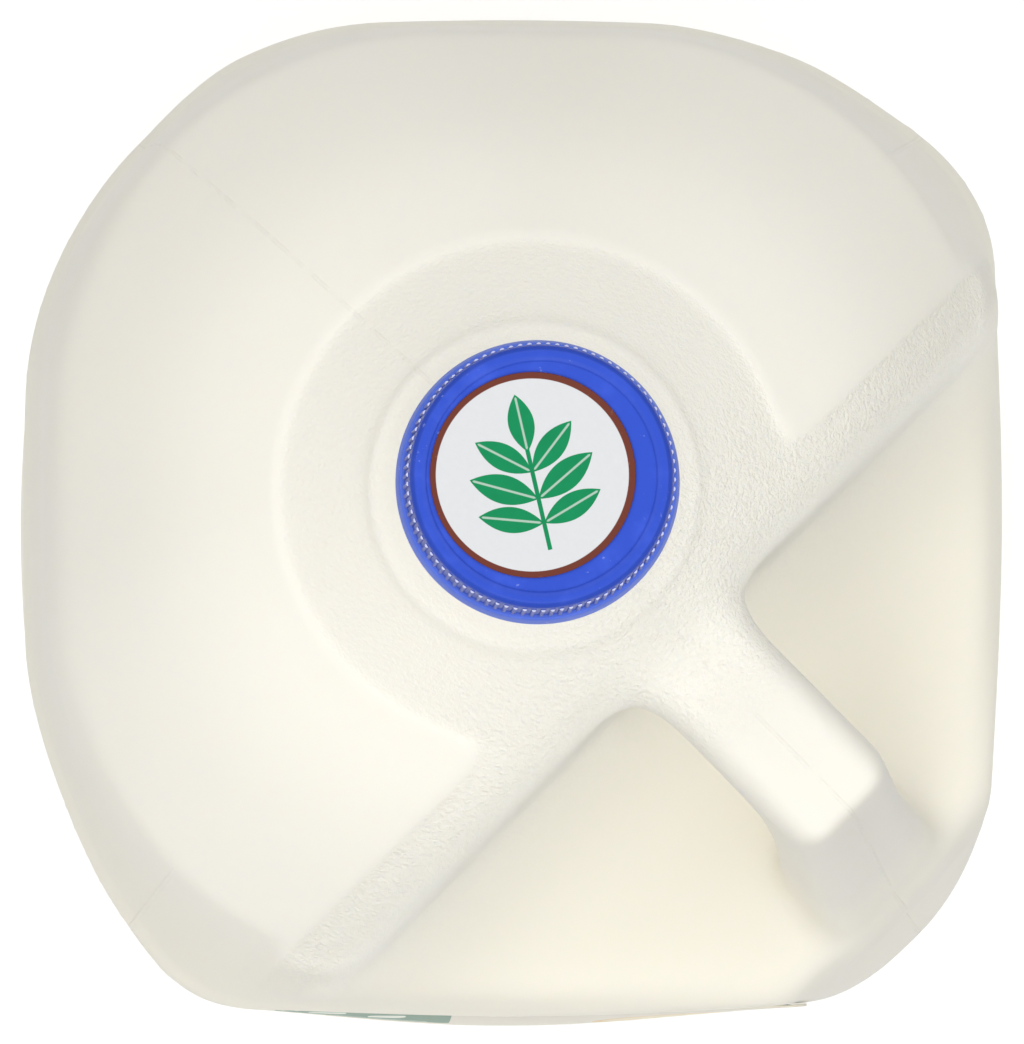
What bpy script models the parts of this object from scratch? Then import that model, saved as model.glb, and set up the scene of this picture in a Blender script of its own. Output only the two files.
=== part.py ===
"""A one-gallon milk jug: blow-moulded body with a corner handle, screw cap, seal and label.

Z is up and the standing face is at Z = 0. The handle points along +X, the four square faces
stand at 45 degrees to X and Y, and the origin is the middle of the jug's footprint.
"""

import math

import bmesh
import bpy
from mathutils import Matrix, Vector

# Driving sizes, in metres. Half widths are from the neck's axis to a square face.
FOOT_HALF = 0.0705          # at the standing edge
BODY_HALF = 0.0753          # at the side panels
CREASE_HALF = 0.0732        # at the shoulder crease
FRONT_PROUD = 0.0014        # how much further out the front and the back panel stand
FACE_EASE = 0.030           # over which a panel's edge runs into the next
PANEL_BULGE = 0.0034        # how far the full jug's panels belly out
PANEL_SPAN = 38             # degrees to each side of a face's middle over which it bellies
BEAD_BULGE = 0.0014         # what is left of the belly at the upper bead
BEAD = 0.0010               # how far the beads above and below the panels stand out
BEAD_RISE = 0.0038          # half the height of a bead
HANDLE_CORNER = 0.0362      # corner radius in plan under the handle
BACK_CORNER = 0.0579        # corner radius in plan opposite the handle
CORNER_EASE = 0.036         # to each side of the neck's axis over which one becomes the other
CREASE_CORNER = 0.0600      # corner radius in plan at the shoulder crease

FOOT_TRIM = 0.0006          # shaved off below, so that the jug stands on a true plane
FOOT_ROUNDING = ((0.0020, 0.0015), (0.0065, 0.0010))  # heights, and insets from BODY_HALF
LOWER_BEAD_Z = 0.016
UPPER_BEAD_Z = 0.110
CREASE_Z = 0.158
SHOULDER_STEP_R = 0.0380    # inner edge of the raised shoulder panel, round the neck
SHOULDER_STEP_Z = 0.2055
SHOULDER_SWELL = 0.10       # how convex the shoulder's cone is
NECK_RING_R = 0.0246        # low ring on the cone under the cap
NECK_RING_Z = 0.2197
NECK_FOOT_Z = 0.2230
NECK_R = 0.0185
NECK_TOP_Z = 0.2505

# Heights and radii from the shoulder panels' edge up the cone and the neck.
NECK_PROFILE = (
    (SHOULDER_STEP_Z + 0.0002, SHOULDER_STEP_R - 0.0006),
    (SHOULDER_STEP_Z + 0.0070, SHOULDER_STEP_R - 0.0072),
    (NECK_RING_Z - 0.0016, NECK_RING_R + 0.0001),
    (NECK_RING_Z, NECK_RING_R - 0.0003),
    (NECK_RING_Z + 0.0004, NECK_RING_R - 0.0013),
    (NECK_FOOT_Z - 0.0006, NECK_R + 0.0022),
    (NECK_FOOT_Z + 0.0002, NECK_R + 0.0005),
    (NECK_FOOT_Z + 0.0015, NECK_R),
    (NECK_TOP_Z, NECK_R),
)

# The hollow behind the handle, as x and z down its steep side and out along its floor.
RAMP_TOP = (0.0316, 0.2050)
RAMP_FOOT = (0.0338, 0.1400)
FLOOR_INNER = (0.0500, 0.1205)
FLOOR_OUTER = (0.0900, 0.1125)
CORNER_RIM = (0.0848, 0.1135)  # past the handle's foot the corner falls away
CORNER_END = (0.0940, 0.0860)
HOLLOW_FILLET = 0.022

# The handle is a flat-topped bar, bent down at the back. Each section is x and z on its
# outer side, x and z on the side of the finger hole, and half its width.
HANDLE_SECTIONS = (
    (0.0160, 0.2080, 0.0160, 0.1950, 0.0140),
    (0.0300, 0.2095, 0.0300, 0.1940, 0.0135),
    (0.0380, 0.2086, 0.0380, 0.1930, 0.0118),
    (0.0460, 0.2077, 0.0440, 0.1924, 0.0104),
    (0.0560, 0.2066, 0.0500, 0.1915, 0.0096),
    (0.0630, 0.2058, 0.0532, 0.1900, 0.0095),
    (0.0672, 0.2040, 0.0552, 0.1872, 0.0095),
    (0.0692, 0.1990, 0.0565, 0.1830, 0.0095),
    (0.0735, 0.1771, 0.0583, 0.1742, 0.0095),
    (0.0778, 0.1543, 0.0626, 0.1514, 0.0099),
    (0.0814, 0.1353, 0.0662, 0.1324, 0.0111),
    (0.0853, 0.1150, 0.0701, 0.1121, 0.0117),
    (0.0853, 0.1000, 0.0710, 0.0970, 0.0117),
)
HANDLE_EDGE = 0.0050        # rounding of the bar's four long edges

PUSH_UP_R = 0.0520          # shallow dish under the base
PUSH_UP_DEPTH = 0.0040
PUSH_UP_TAPER = 0.82        # how far the dish narrows, in twice its depth

CAP_TOP_Z = 0.2538
CAP_SKIRT_Z = 0.2385
CAP_R = 0.0199
CAP_BORE_R = 0.0188
CAP_EDGE_R = 0.0011         # rounding of the cap's upper edge
SEAL_R = 0.0150
DISH_R = 0.0168             # flat dish in the cap's top that holds the seal
DISH_DEPTH = 0.0006
DISH_SLOPE = 0.0008
SEAL_SHIFT = (-0.00105, -0.00072)
BAND_R = 0.0209             # tamper band under the cap
BAND_LOWER_Z = 0.2342
BAND_UPPER_Z = 0.2381
BAND_LIP = 0.0006           # rounding and taper of the band's outer edges

LABEL_WIDTH = 0.094
LABEL_LOWER_Z = 0.021
LABEL_UPPER_Z = 0.1045
PAPER = 0.0003              # thickness of the seal and the label
GAP = 0.0003                # clearance between pieces that touch
LABEL_GAP = 0.0004

COLUMNS = 96                # points round each section of the body
TURN_STEPS = 64             # points round the turned pieces
VOXEL = 0.0020              # grid that blends the handle in and rounds the body's edges
SOFTENING = 6               # smoothing passes after the blend
KEPT_SHARE = 0.098          # share of the blended body's faces that are kept

# The handle's corner reaches further out than the one behind it, so the neck stands this
# far from the middle of the footprint.
CORNER_CUT = math.sqrt(2) - 1
NECK_X = -(BACK_CORNER - HANDLE_CORNER) * CORNER_CUT / 2

MILK_WHITE = (0.85, 0.83, 0.76)
CAP_BLUE = (0.045, 0.105, 0.62)
SEAL_GREEN = (0.03, 0.30, 0.12)
LABEL_CREAM = (0.66, 0.61, 0.49)


def clear_scene():
    for item in list(bpy.data.objects):
        bpy.data.objects.remove(item, do_unlink=True)


def new_collection(name):
    group = bpy.data.collections.new(name)
    bpy.context.scene.collection.children.link(group)
    return group


def plastic(name, colour, roughness):
    made = bpy.data.materials.new(name)
    made.use_nodes = True
    shader = made.node_tree.nodes["Principled BSDF"]
    shader.inputs["Base Color"].default_value = (*colour, 1.0)
    shader.inputs["Roughness"].default_value = roughness
    shader.inputs["Metallic"].default_value = 0.0
    made.diffuse_color = (*colour, 1.0)
    return made


def mesh_object(name, build, group):
    """A new object whose mesh is filled by build(bmesh)."""
    mesh = bpy.data.meshes.new(name)
    bm = bmesh.new()
    build(bm)
    bmesh.ops.recalc_face_normals(bm, faces=bm.faces)
    bm.to_mesh(mesh)
    bm.free()
    made = bpy.data.objects.new(name, mesh)
    group.objects.link(made)
    return made


def hide_cutter(cutter):
    cutter.hide_render = True
    cutter.display_type = "WIRE"


def boolean(target, operation, other):
    step = target.modifiers.new(f"{operation.title()} {other.name}", "BOOLEAN")
    step.operation = operation
    step.object = other


def eased(value):
    """A smooth step from 0 at 0 to 1 at 1."""
    share = min(max(value, 0.0), 1.0)
    return share**2 * (3 - 2 * share)


def section_radius(angle, half, bulge, roundness, proud):
    """Distance from the axis to a rounded square whose faces stand at 45 degrees to X.

    angle is from +X. The corners turn from those of the body to those of the crease as
    roundness goes from 0 to 1. proud is how much further out the front and back panels stand.
    """
    quarter = math.pi / 2
    nearest = round(angle / quarter)
    from_face = quarter / 2 - abs(angle - nearest * quarter)
    diagonal = angle - quarter / 2
    facing = abs(math.sin(diagonal)) - abs(math.cos(diagonal))
    half += proud * eased(facing * half / FACE_EASE)
    forward = half * math.cos(angle) / CORNER_EASE
    low_corner = BACK_CORNER + (HANDLE_CORNER - BACK_CORNER) * eased((forward + 1) / 2)
    corner = min(half, low_corner + (CREASE_CORNER - low_corner) * min(roundness, 1.0))
    if roundness > 1:
        corner = min(half, CREASE_CORNER + (SHOULDER_STEP_R - CREASE_CORNER) * (roundness - 1))
    inner = half - corner
    if half * math.tan(from_face) <= inner:
        radius = half / math.cos(from_face)
    else:
        both = math.cos(from_face) + math.sin(from_face)
        radius = inner * both + math.sqrt(max(corner**2 - inner**2 * (2 - both**2), 0.0))
    belly = max(0.0, 1 - (from_face / math.radians(PANEL_SPAN)) ** 2) ** 2
    return radius + bulge * belly


def body_sections():
    """Height, half width, panel bulge, roundness and proudness of each section, from the foot up.

    Roundness is 0 at the body, 1 at the crease and 2 where the shoulder meets the neck."""
    rows = [(-FOOT_TRIM, FOOT_HALF, 0.0, 0, FRONT_PROUD)]
    rows += [(height, BODY_HALF - inset, 0.0, 0, FRONT_PROUD) for height, inset in FOOT_ROUNDING]
    rows += [
        (LOWER_BEAD_Z - BEAD_RISE, BODY_HALF, 0.0, 0, FRONT_PROUD),
        (LOWER_BEAD_Z, BODY_HALF + BEAD, 0.0, 0, FRONT_PROUD),
        (LOWER_BEAD_Z + BEAD_RISE, BODY_HALF, 0.0, 0, FRONT_PROUD),
    ]
    for step in range(1, 8):
        share = step / 8
        height = LOWER_BEAD_Z + (UPPER_BEAD_Z - LOWER_BEAD_Z) * share
        fullness = math.sin(math.pi * share) ** 0.6
        rows.append((height, BODY_HALF, PANEL_BULGE * fullness, 0, FRONT_PROUD))
    rows += [
        (UPPER_BEAD_Z - BEAD_RISE, BODY_HALF, BEAD_BULGE, 0, FRONT_PROUD),
        (UPPER_BEAD_Z, BODY_HALF + BEAD, BEAD_BULGE, 0, FRONT_PROUD),
        (UPPER_BEAD_Z + BEAD_RISE, BODY_HALF, BEAD_BULGE * 0.7, 0, FRONT_PROUD),
    ]
    for share in (0.3, 0.55, 0.8, 0.95):
        height = UPPER_BEAD_Z + (CREASE_Z - UPPER_BEAD_Z) * share
        half = BODY_HALF + (CREASE_HALF - BODY_HALF) * share**1.5
        rows.append((height, half, BEAD_BULGE * 0.6 * (1 - share), share, FRONT_PROUD * (1 - share)))
    rows.append((CREASE_Z, CREASE_HALF, 0.0, 1, 0.0))
    # The shoulder is nearly a cone, a little convex, and turns round towards the neck.
    for share in (0.05, 0.16, 0.3, 0.45, 0.6, 0.75, 0.9, 0.98):
        half = CREASE_HALF + (SHOULDER_STEP_R - CREASE_HALF) * share
        swell = SHOULDER_SWELL * math.sin(math.pi * share)
        height = CREASE_Z + (SHOULDER_STEP_Z - CREASE_Z) * (share + swell)
        rows.append((height, half, 0.0, 1 + share, 0.0))
    rows += [(height, radius, 0.0, 2, 0.0) for height, radius in NECK_PROFILE]
    return rows


def loft_body(bm):
    """Skin the sections and close both ends."""
    rings = []
    for height, half, bulge, roundness, proud in body_sections():
        ring = []
        for column in range(COLUMNS):
            angle = 2 * math.pi * column / COLUMNS
            radius = section_radius(angle, half, bulge, roundness, proud)
            ring.append(bm.verts.new((radius * math.cos(angle), radius * math.sin(angle), height)))
        rings.append(ring)
    for lower, upper in zip(rings, rings[1:]):
        for column in range(COLUMNS):
            after = (column + 1) % COLUMNS
            bm.faces.new((lower[column], lower[after], upper[after], upper[column]))
    bm.faces.new(rings[0])
    bm.faces.new(rings[-1])


def fillet(before, corner, after, radius, steps=8):
    """The arc that rounds one corner of a flat outline, as points."""
    corner = Vector(corner)
    to_before = (Vector(before) - corner).normalized()
    to_after = (Vector(after) - corner).normalized()
    half_angle = to_before.angle(to_after) / 2
    centre = corner + (to_before + to_after).normalized() * radius / math.sin(half_angle)
    start = corner + to_before * radius / math.tan(half_angle) - centre
    end = corner + to_after * radius / math.tan(half_angle) - centre
    turn = -start.angle_signed(end)
    return [centre + Matrix.Rotation(turn * step / steps, 2) @ start for step in range(steps + 1)]


def along(first, second, share):
    return tuple(a + (b - a) * share for a, b in zip(first, second))


def meeting_point(a, b, c, d):
    """Where the line through a and b crosses the line through c and d, in the plane."""
    run_1 = Vector(b) - Vector(a)
    run_2 = Vector(d) - Vector(c)
    share = (Vector(c) - Vector(a)).cross(run_2) / run_1.cross(run_2)
    return tuple(Vector(a) + run_1 * share)


def hollow_prism(bm):
    """The space under the handle, cut straight across the corner of the jug."""
    corner = meeting_point(RAMP_TOP, RAMP_FOOT, FLOOR_INNER, FLOOR_OUTER)
    sky = along(RAMP_FOOT, RAMP_TOP, 2.0)
    outline = [sky, *fillet(RAMP_TOP, corner, FLOOR_OUTER, HOLLOW_FILLET), CORNER_RIM, CORNER_END]
    outline.append((CORNER_END[0], sky[1]))
    face = bm.faces.new([bm.verts.new((x, -BODY_HALF * 2, z)) for x, z in outline])
    swept = bmesh.ops.extrude_face_region(bm, geom=[face])["geom"]
    moved = [item for item in swept if isinstance(item, bmesh.types.BMVert)]
    bmesh.ops.translate(bm, verts=moved, vec=(0, BODY_HALF * 4, 0))


def handle_ring(bm, outer, inner, half):
    """The points of one section of the handle, a rectangle with rounded corners."""
    middle = (outer + inner) / 2
    deep = (outer - inner) / 2
    flat = deep.length - HANDLE_EDGE
    wide = half - HANDLE_EDGE
    sideways = Vector((0, 1, 0))
    ring = []
    for corner, (towards, aside) in enumerate(((1, 1), (-1, 1), (-1, -1), (1, -1))):
        for step in range(4):
            turn = math.radians(corner * 90 + step * 30)
            out = towards * flat + HANDLE_EDGE * math.cos(turn)
            across = aside * wide + HANDLE_EDGE * math.sin(turn)
            ring.append(bm.verts.new(middle + deep.normalized() * out + sideways * across))
    return ring


def handle_bar(bm):
    """The handle as a closed bent bar, with its ends sunk in the body."""
    rings = []
    for outer_x, outer_z, inner_x, inner_z, half in HANDLE_SECTIONS:
        outer, inner = Vector((outer_x, 0, outer_z)), Vector((inner_x, 0, inner_z))
        rings.append(handle_ring(bm, outer, inner, half))
    for first, second in zip(rings, rings[1:]):
        for index in range(len(first)):
            after = (index + 1) % len(first)
            bm.faces.new((first[index], first[after], second[after], second[index]))
    bm.faces.new(rings[0])
    bm.faces.new(rings[-1])


def push_up(bm):
    """A flat cone that dishes the base."""
    top_r = PUSH_UP_R * PUSH_UP_TAPER
    bmesh.ops.create_cone(
        bm, cap_ends=True, segments=TURN_STEPS, radius1=PUSH_UP_R, radius2=top_r,
        depth=2 * PUSH_UP_DEPTH,
    )


def below_floor(bm):
    bmesh.ops.create_cube(bm, size=0.3, matrix=Matrix.Translation((0, 0, -0.15)))


def make_jug(group, cutters, colour):
    jug = mesh_object("jug", loft_body, group)
    hollow = mesh_object("hollow", hollow_prism, cutters)
    dish = mesh_object("base dish", push_up, cutters)
    floor = mesh_object("standing plane", below_floor, cutters)
    bar = mesh_object("handle bar", handle_bar, cutters)
    boolean(jug, "DIFFERENCE", hollow)
    boolean(jug, "UNION", bar)
    boolean(jug, "DIFFERENCE", dish)
    blend = jug.modifiers.new("Blend", "REMESH")
    blend.mode = "VOXEL"
    blend.voxel_size = VOXEL
    soften = jug.modifiers.new("Soften", "SMOOTH")
    soften.factor = 0.5
    soften.iterations = SOFTENING
    thin = jug.modifiers.new("Fewer faces", "DECIMATE")
    thin.ratio = KEPT_SHARE
    boolean(jug, "DIFFERENCE", floor)
    for cutter in (hollow, dish, floor, bar):
        hide_cutter(cutter)
    jug.data.materials.append(colour)
    return jug


def turned(name, profile, group):
    """A profile of radius and height, turned about the neck's axis. It runs down its outer side."""
    mesh = bpy.data.meshes.new(name)
    edges = [(index, index + 1) for index in range(len(profile) - 1)]
    mesh.from_pydata([(radius, 0, height) for radius, height in profile], edges, [])
    made = bpy.data.objects.new(name, mesh)
    group.objects.link(made)
    screw = made.modifiers.new("Turn", "SCREW")
    screw.steps = screw.render_steps = TURN_STEPS
    screw.use_merge_vertices = True
    screw.merge_threshold = 0.00001
    return made


def arc(centre, radius, start, end, steps):
    """Points on an arc in the profile's plane, in degrees from the +X side."""
    angles = [math.radians(start + (end - start) * step / steps) for step in range(steps + 1)]
    return [(centre[0] + radius * math.cos(a), centre[1] + radius * math.sin(a)) for a in angles]


def make_cap(group, colour):
    dish_z = CAP_TOP_Z - DISH_DEPTH
    edge = (CAP_R - CAP_EDGE_R, CAP_TOP_Z - CAP_EDGE_R)
    profile = [
        (0, dish_z),
        (DISH_R, dish_z),
        (DISH_R + DISH_SLOPE, CAP_TOP_Z),
        *arc(edge, CAP_EDGE_R, 90, 0, 4),
        (CAP_R, CAP_SKIRT_Z),
        (CAP_BORE_R, CAP_SKIRT_Z),
        (CAP_BORE_R, NECK_TOP_Z + GAP),
        (0, NECK_TOP_Z + GAP),
    ]
    cap = turned("cap", profile, group)
    cap.data.materials.append(colour)
    return cap


def make_band(group, colour):
    profile = [
        (CAP_BORE_R, BAND_UPPER_Z),
        (BAND_R - 2 * BAND_LIP, BAND_UPPER_Z),
        (BAND_R - BAND_LIP, BAND_UPPER_Z - BAND_LIP),
        (BAND_R, BAND_LOWER_Z + 2 * BAND_LIP),
        (BAND_R, BAND_LOWER_Z),
        (CAP_BORE_R, BAND_LOWER_Z),
        (CAP_BORE_R, BAND_UPPER_Z),
    ]
    band = turned("tamper_band", profile, group)
    band.data.materials.append(colour)
    return band


def make_seal(group, colour):
    def disc(bm):
        bmesh.ops.create_cone(
            bm, cap_ends=True, segments=TURN_STEPS, radius1=SEAL_R, radius2=SEAL_R, depth=PAPER
        )

    seal = mesh_object("cap_seal", disc, group)
    seal.location = (*SEAL_SHIFT, CAP_TOP_Z - DISH_DEPTH + GAP + PAPER / 2)
    seal.data.materials.append(colour)
    return seal


def make_label(group, jug, colour):
    """A paper label laid against the front panel, which faces half way between +X and -Y."""
    reach = BODY_HALF + PANEL_BULGE * 4

    def sheet(bm):
        bmesh.ops.create_grid(bm, x_segments=20, y_segments=9, size=0.5)
        height = LABEL_UPPER_Z - LABEL_LOWER_Z
        bmesh.ops.scale(bm, verts=bm.verts, vec=(LABEL_WIDTH, height, 1))

    label = mesh_object("label_front", sheet, group)
    label.location = (
        reach / math.sqrt(2), -reach / math.sqrt(2), (LABEL_UPPER_Z + LABEL_LOWER_Z) / 2
    )
    label.rotation_euler = (math.pi / 2, 0, math.pi / 4)
    lay = label.modifiers.new("Lay on the panel", "SHRINKWRAP")
    lay.target = jug
    lay.wrap_method = "PROJECT"
    lay.use_project_z = True
    lay.use_positive_direction = False
    lay.use_negative_direction = True
    lay.wrap_mode = "ON_SURFACE"
    lay.offset = LABEL_GAP
    thicken = label.modifiers.new("Paper", "SOLIDIFY")
    thicken.thickness = PAPER
    thicken.offset = 1.0
    label.data.materials.append(colour)
    return label


def main():
    clear_scene()
    pieces = new_collection("milk jug")
    cutters = new_collection("cutters")
    white = plastic("milk white polythene", MILK_WHITE, 0.42)
    blue = plastic("blue polythene", CAP_BLUE, 0.35)
    green = plastic("printed seal", SEAL_GREEN, 0.5)
    cream = plastic("printed label", LABEL_CREAM, 0.55)

    axis = bpy.data.objects.new("neck axis", None)
    axis.location = (NECK_X, 0, 0)
    pieces.objects.link(axis)
    jug = make_jug(pieces, cutters, white)
    made = [
        jug,
        make_cap(pieces, blue),
        make_band(pieces, blue),
        make_seal(pieces, green),
        make_label(pieces, jug, cream),
    ]
    for item in made + list(cutters.objects):
        item.parent = axis
    for item in made:
        item.data.shade_smooth()


main()
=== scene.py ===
"""The looks of a one-gallon milk jug: moulded body, ribbed screw cap, band, seal and label.

Sizes are in metres. Z is up, the jug stands on Z = 0, and its handle points along +X.
"""

import math

import bmesh
import bpy
from mathutils import Matrix, Vector
from mathutils.bvhtree import BVHTree


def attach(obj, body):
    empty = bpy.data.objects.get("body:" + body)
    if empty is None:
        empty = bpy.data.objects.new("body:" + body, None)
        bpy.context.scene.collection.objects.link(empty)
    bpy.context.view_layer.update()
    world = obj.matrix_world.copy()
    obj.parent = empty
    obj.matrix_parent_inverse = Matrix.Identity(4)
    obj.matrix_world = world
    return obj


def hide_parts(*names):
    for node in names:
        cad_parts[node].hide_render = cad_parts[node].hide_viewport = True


bl_info = {
    "name": "Milk Jug",
    "version": (1, 0, 0),
    "blender": (4, 5, 0),
    "location": "3D View > Sidebar > Milk Jug",
    "description": "Builds the moulded body, cap, band, seal and label of a one-gallon milk jug",
    "category": "Add Mesh",
}

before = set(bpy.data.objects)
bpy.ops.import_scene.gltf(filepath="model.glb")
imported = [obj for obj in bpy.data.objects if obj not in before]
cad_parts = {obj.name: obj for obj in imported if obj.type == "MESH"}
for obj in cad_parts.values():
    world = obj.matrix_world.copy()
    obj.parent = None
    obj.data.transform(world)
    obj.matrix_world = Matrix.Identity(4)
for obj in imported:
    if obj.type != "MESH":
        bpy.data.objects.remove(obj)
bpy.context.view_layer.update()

MM = 0.001
ROOT_HALF = math.sqrt(0.5)

# Sizes that the solids share. Half widths are from the neck's axis to a square face.
BODY_HALF = 75.3 * MM
FRONT_PROUD = 1.4 * MM
CREASE_HALF = 73.2 * MM
PANEL_BULGE = 3.4 * MM
BEAD_BULGE = 1.4 * MM
BEAD = 1.0 * MM
BEAD_RISE = 3.4 * MM
PANEL_SPAN = math.radians(38)
CORNER_EASE = 36 * MM
FACE_EASE = 30 * MM
HANDLE_CORNER = 36.2 * MM
BACK_CORNER = 57.9 * MM
TIGHT_CORNER = 31.5 * MM  # under the handle, tighter than the solid's corner
CREASE_CORNER = 60.0 * MM
LOWER_BEAD_Z = 16.0 * MM
UPPER_BEAD_Z = 110.0 * MM
CREASE_Z = 158.0 * MM
STEP_R = 38.0 * MM
STEP_Z = 205.5 * MM
SHOULDER_SWELL = 0.10
CONE_SLOPE = 0.39
NECK_RING_R = 24.6 * MM
NECK_RING_Z = 219.7 * MM
NECK_FOOT_Z = 223.0 * MM
NECK_R = 18.5 * MM
NECK_TOP_Z = 250.5 * MM
RAMP_TOP = (31.6 * MM, 205.0 * MM)
RAMP_FOOT = (33.8 * MM, 140.0 * MM)
FLOOR_INNER = (50.0 * MM, 120.5 * MM)
FLOOR_OUTER = (90.0 * MM, 112.5 * MM)
CORNER_RIM = (84.8 * MM, 113.5 * MM)
CORNER_END = (94.0 * MM, 86.0 * MM)
HOLLOW_FILLET = 22.0 * MM
HANDLE_HALF = 9.5 * MM
HANDLE_DEPTH = 15.5 * MM
HANDLE_EDGE = 5.0 * MM
HANDLE_TOP = ((30.0 * MM, 209.5 * MM), (66.0 * MM, 205.5 * MM))
HANDLE_BACK = ((69.5 * MM, 198.0 * MM), (85.5 * MM, 114.0 * MM))
PUSH_UP_R = 52.0 * MM
PUSH_UP_DEPTH = 4.0 * MM
PUSH_UP_TAPER = 0.82

# The shoulder panels stand proud of the stippled band that runs round the neck and the handle.
PANEL_EDGE_X = 23.5 * MM
PANEL_RISE = 0.6 * MM

SEAL_R = 15.0 * MM
SEAL_SEAT_Z = 253.2 * MM
SEAL_SHIFT = (-1.05 * MM, -0.72 * MM)
SEAL_RING_R = 14.00 * MM
SEAL_TURN = math.radians(58)
RIB_FOOT = (19.66 * MM, 239.3 * MM)
RIB_TOP = (19.34 * MM, 251.3 * MM)
CAP_STEPS = 180
SEAL_STEPS = 128

LABEL_WIDTH = 94.0 * MM
LABEL_LOWER_Z = 21.0 * MM
LABEL_UPPER_Z = 104.5 * MM
LABEL_GAP = 0.35 * MM
PAPER = 0.3 * MM

# Turned profiles in millimetres, as radius, height and the rounding of the corner there.
CAP_PROFILE = (
    (0.0, 253.20, 0.0),
    (16.70, 253.20, 0.12),
    (16.95, 253.50, 0.15),
    (17.70, 253.80, 0.5),
    (18.50, 253.72, 0.6),
    (19.20, 252.70, 0.6),
    (19.34, 251.20, 0.3),
    (19.62, 239.20, 0.2),
    (19.70, 238.90, 0.1),
    (19.70, 238.50, 0.1),
    (18.80, 238.50, 0.0),
    (18.80, 250.80, 0.0),
    (0.0, 250.80, 0.0),
)

BAND_PROFILE = (
    (18.80, 238.10, 0.0),
    (20.35, 238.10, 0.3),
    (20.60, 237.20, 0.3),
    (20.95, 235.20, 0.3),
    (20.95, 234.20, 0.3),
    (18.80, 234.20, 0.0),
)

# The stage. The camera hangs high over the jug and looks down on it, with the label at the bottom.
# A painted pool of light on the floor: white inside the first radius, dark grey beyond the second.
PAINTED_POOL_INNER_R = 0.120
PAINTED_POOL_OUTER_R = 0.30
CAMERA_LEFT = 50.5 * MM
CAMERA_DOWN = 72.7 * MM
CAMERA_HEIGHT = 1.854
AIM_LEFT = 0.03 * MM
AIM_DOWN = 0.52 * MM
AIM_HEIGHT = 0.105
SENSOR_WIDTH = 36.0
PICTURE_WIDTH = 1024
FOCAL_PIXELS = 11010

# The neck's axis stands this far from the middle of the jug's footprint.
NECK_X = -(BACK_CORNER - HANDLE_CORNER) * (math.sqrt(2) - 1) / 2


class Wire:
    """A socket in a node tree that can be used in sums like a number."""

    def __init__(self, graph, socket):
        self.graph = graph
        self.socket = socket

    def __add__(self, other):
        return self.graph.math("ADD", self, other)

    __radd__ = __add__

    def __sub__(self, other):
        return self.graph.math("SUBTRACT", self, other)

    def __rsub__(self, other):
        return self.graph.math("SUBTRACT", other, self)

    def __mul__(self, other):
        return self.graph.math("MULTIPLY", self, other)

    __rmul__ = __mul__

    def __truediv__(self, other):
        return self.graph.math("DIVIDE", self, other)

    def __rtruediv__(self, other):
        return self.graph.math("DIVIDE", other, self)

    def __pow__(self, other):
        return self.graph.math("POWER", self, other)

    def __abs__(self):
        return self.graph.math("ABSOLUTE", self)

    def __gt__(self, other):
        return self.graph.math("GREATER_THAN", self, other)


class Graph:
    """Adds the nodes of one tree."""

    def __init__(self, tree):
        self.tree = tree

    def node(self, kind, settings=None, inputs=None, output=0):
        """A node of this kind, set up and fed, as the wire from one of its outputs."""
        made = self.tree.nodes.new(kind)
        for name, value in (settings or {}).items():
            setattr(made, name, value)
        for key, value in (inputs or {}).items():
            if isinstance(value, Wire):
                self.tree.links.new(value.socket, made.inputs[key])
            else:
                made.inputs[key].default_value = value
        return Wire(self, made.outputs[output] if len(made.outputs) else None)

    def math(self, operation, *values):
        return self.node("ShaderNodeMath", {"operation": operation}, dict(enumerate(values)))

    def smaller(self, *values):
        return self.math("MINIMUM", *values)

    def larger(self, *values):
        return self.math("MAXIMUM", *values)

    def joined(self, first, second, width):
        """The smaller of two distances, run together over this width."""
        return self.math("SMOOTH_MIN", first, second, width)

    def common(self, first, second, width):
        """The larger of two distances, run together over this width."""
        return self.math("SMOOTH_MAX", first, second, width)

    def length(self, first, second):
        return self.math("SQRT", first * first + second * second)

    def sine(self, value):
        return self.math("SINE", value)

    def rise(self, value, low, high):
        """A smooth step from 0 at low to 1 at high."""
        ends = {"Value": value, "From Min": low, "From Max": high}
        return self.node("ShaderNodeMapRange", {"interpolation_type": "SMOOTHSTEP"}, ends)

    def share(self, value, low, high):
        """A straight ramp from 0 at low to 1 at high."""
        return self.node("ShaderNodeMapRange", {}, {"Value": value, "From Min": low, "From Max": high})

    def split(self, vector):
        """The three numbers of a vector."""
        first = self.node("ShaderNodeSeparateXYZ", {}, {"Vector": vector})
        outputs = first.socket.node.outputs
        return [Wire(self, outputs[index]) for index in range(3)]

    def mix(self, factor, first, second):
        """One colour run into another."""
        settings = {"data_type": "RGBA", "clamp_factor": True}
        return self.node("ShaderNodeMix", settings, {0: factor, 6: first, 7: second}, 2)

    def noise(self, vector, scale, detail=2.0, roughness=0.5):
        """Even noise between about 0 and 1."""
        inputs = {"Vector": vector, "Scale": scale, "Detail": detail, "Roughness": roughness}
        return self.node("ShaderNodeTexNoise", {}, inputs)


def rounded_square(graph, u, v, half, corner):
    """Distance in plan to a square with rounded corners, negative inside it."""
    across = abs(u) - half + corner
    along = abs(v) - half + corner
    outside = graph.length(graph.larger(across, 0.0), graph.larger(along, 0.0))
    return outside + graph.smaller(graph.larger(across, along), 0.0) - corner


def panel_edge(graph, x, around):
    """How far a point lies outside the raised shoulder panel. The neck's axis is at x = 0."""
    return graph.common(STEP_R - around, x - PANEL_EDGE_X, 10 * MM)


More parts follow.
